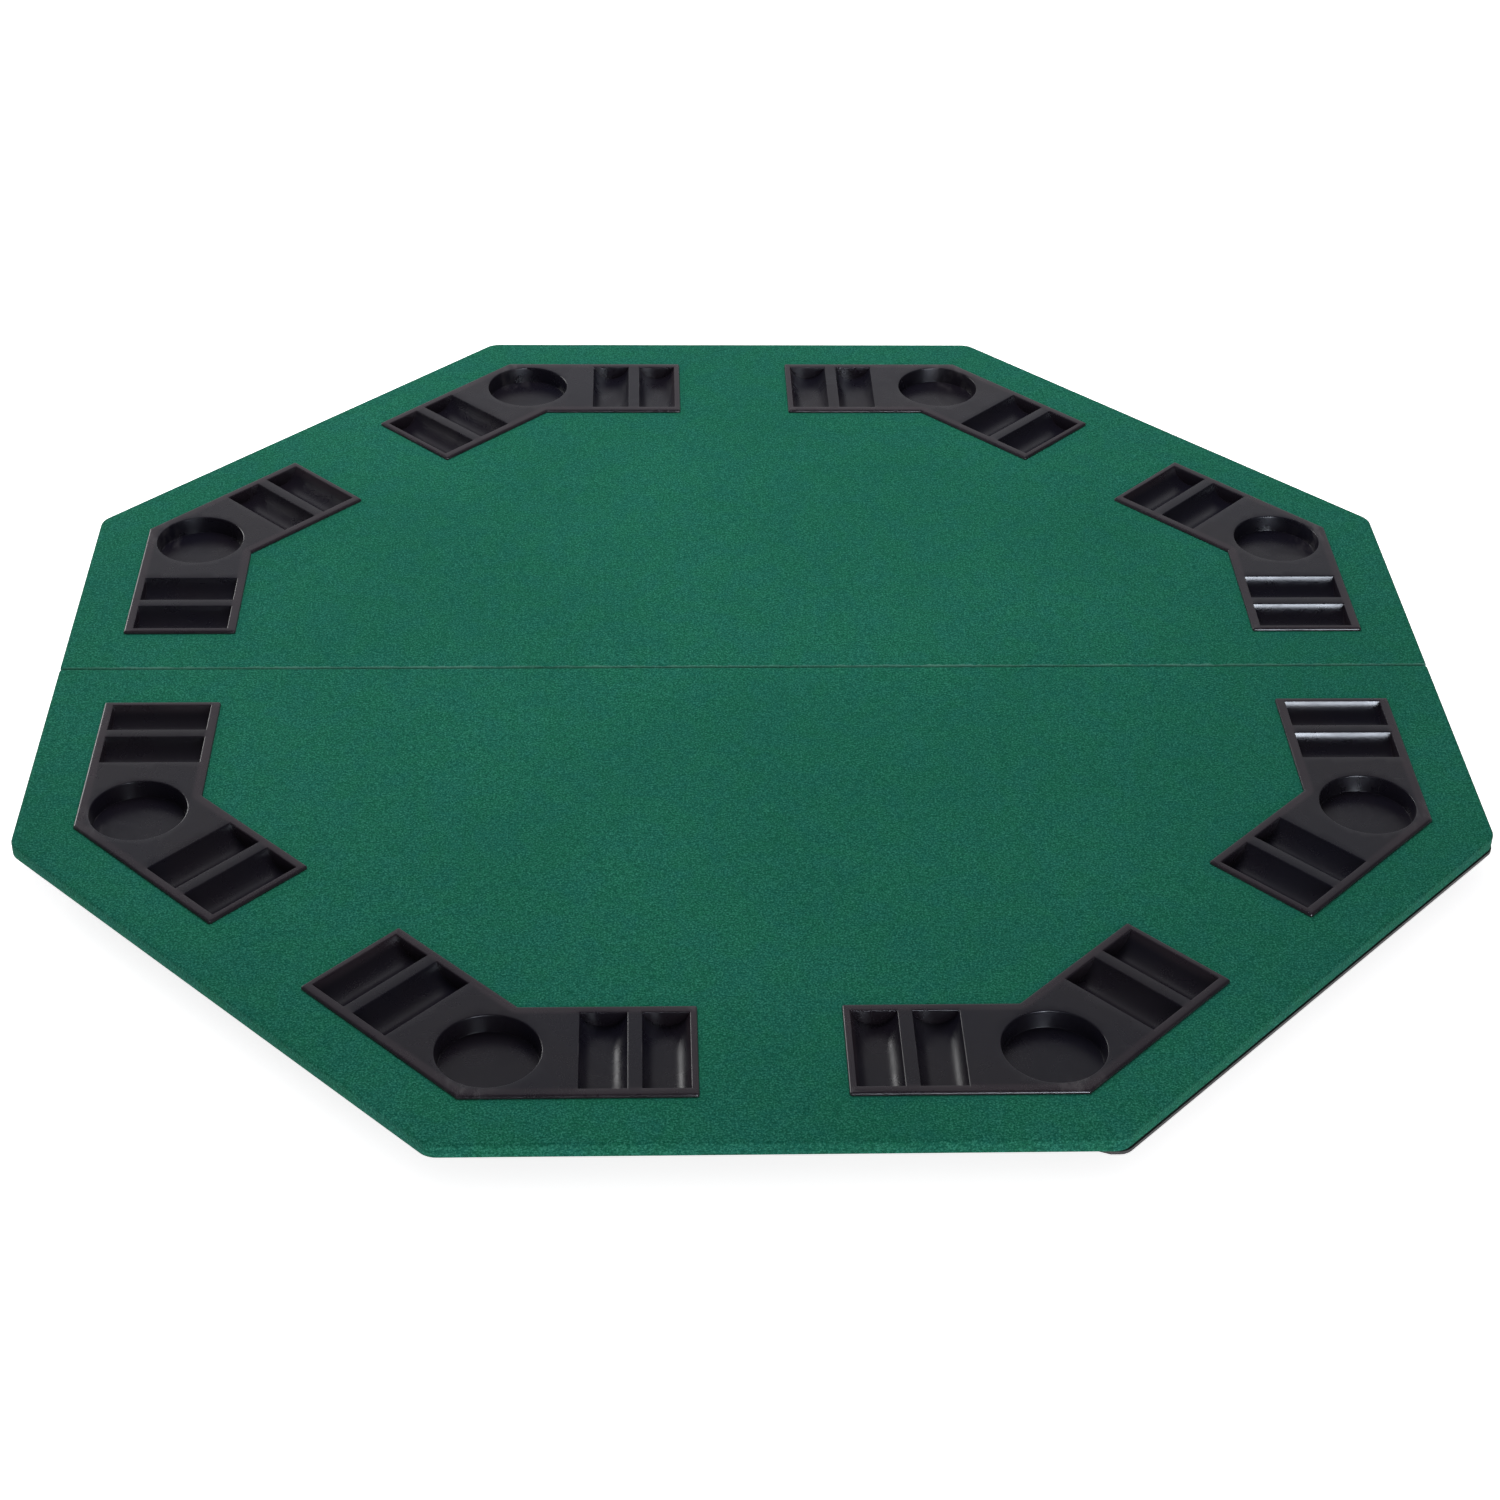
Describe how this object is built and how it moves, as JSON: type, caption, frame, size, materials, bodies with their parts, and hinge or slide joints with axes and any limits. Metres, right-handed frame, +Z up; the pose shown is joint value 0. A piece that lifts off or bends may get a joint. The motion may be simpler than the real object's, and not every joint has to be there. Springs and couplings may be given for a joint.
{
  "type": "folding card-table top",
  "caption": "Octagonal felt-covered card-table top that folds in half on butt hinges, with a moulded chip and cup tray at each corner.",
  "frame": {"origin": "centre of the octagon, on the plane that the rubber feet stand on", "axes": "+Z up, +X along the fold, +Y from the fold towards the rear leaf, which is the fixed one"},
  "size_m": [1.22, 1.22, 0.0265],
  "materials": {
    "felt": "short-napped green felt",
    "tray_plastic": "moulded black plastic, half gloss in the wells",
    "fibreboard": "raw fibreboard",
    "foam": "thin open-cell foam",
    "black_board": "hardboard painted black",
    "steel": "bright zinc plate",
    "rubber": "moulded black rubber"
  },
  "bodies": {
    "rear_leaf": {"board_rear": "fibreboard", "foam_pad_rear": "foam", "felt_cover_rear": "felt", "backing_panel_rear": "black_board", "tray_right_rear": "tray_plastic", "tray_rear_right": "tray_plastic", "tray_rear_left": "tray_plastic", "tray_left_rear": "tray_plastic", "rubber_foot_rear_1": "rubber", "rubber_foot_rear_2": "rubber", "rubber_foot_rear_3": "rubber", "rubber_foot_rear_4": "rubber", "rubber_foot_rear_5": "rubber", "rubber_foot_rear_6": "rubber", "hinge_1_leaf_rear": "steel", "hinge_1_screw_rear_1": "steel", "hinge_1_screw_rear_2": "steel", "hinge_2_leaf_rear": "steel", "hinge_2_screw_rear_1": "steel", "hinge_2_screw_rear_2": "steel", "hinge_3_leaf_rear": "steel", "hinge_3_screw_rear_1": "steel", "hinge_3_screw_rear_2": "steel", "hinge_1_pin": "steel", "hinge_2_pin": "steel", "hinge_3_pin": "steel", "hook_pivot_left": "steel", "hook_washer_left": "steel", "hook_pivot_right": "steel", "hook_washer_right": "steel"},
    "front_leaf": {"board_front": "fibreboard", "foam_pad_front": "foam", "felt_cover_front": "felt", "backing_panel_front": "black_board", "tray_left_front": "tray_plastic", "tray_front_left": "tray_plastic", "tray_front_right": "tray_plastic", "tray_right_front": "tray_plastic", "rubber_foot_front_1": "rubber", "rubber_foot_front_2": "rubber", "rubber_foot_front_3": "rubber", "rubber_foot_front_4": "rubber", "rubber_foot_front_5": "rubber", "rubber_foot_front_6": "rubber", "hinge_1_leaf_front": "steel", "hinge_1_screw_front_1": "steel", "hinge_1_screw_front_2": "steel", "hinge_2_leaf_front": "steel", "hinge_2_screw_front_1": "steel", "hinge_2_screw_front_2": "steel", "hinge_3_leaf_front": "steel", "hinge_3_screw_front_1": "steel", "hinge_3_screw_front_2": "steel", "hook_catch_left": "steel", "hook_catch_right": "steel"},
    "left_hook": {"hook_left": "steel"},
    "right_hook": {"hook_right": "steel"}
  },
  "joints": [
    {"name": "leaf_fold", "type": "hinge", "parent": "rear_leaf", "child": "front_leaf", "pos_m": [0, 0, 0.0038], "axis": [1, 0, 0], "range_deg": [0, 180]},
    {"name": "left_hook_turn", "type": "hinge", "parent": "rear_leaf", "child": "left_hook", "pos_m": [-0.2, 0.014, 0.0062], "axis": [0, 0, 1], "range_deg": [0, 90]},
    {"name": "right_hook_turn", "type": "hinge", "parent": "rear_leaf", "child": "right_hook", "pos_m": [0.2, 0.014, 0.0062], "axis": [0, 0, -1], "range_deg": [0, 90]}
  ]
}
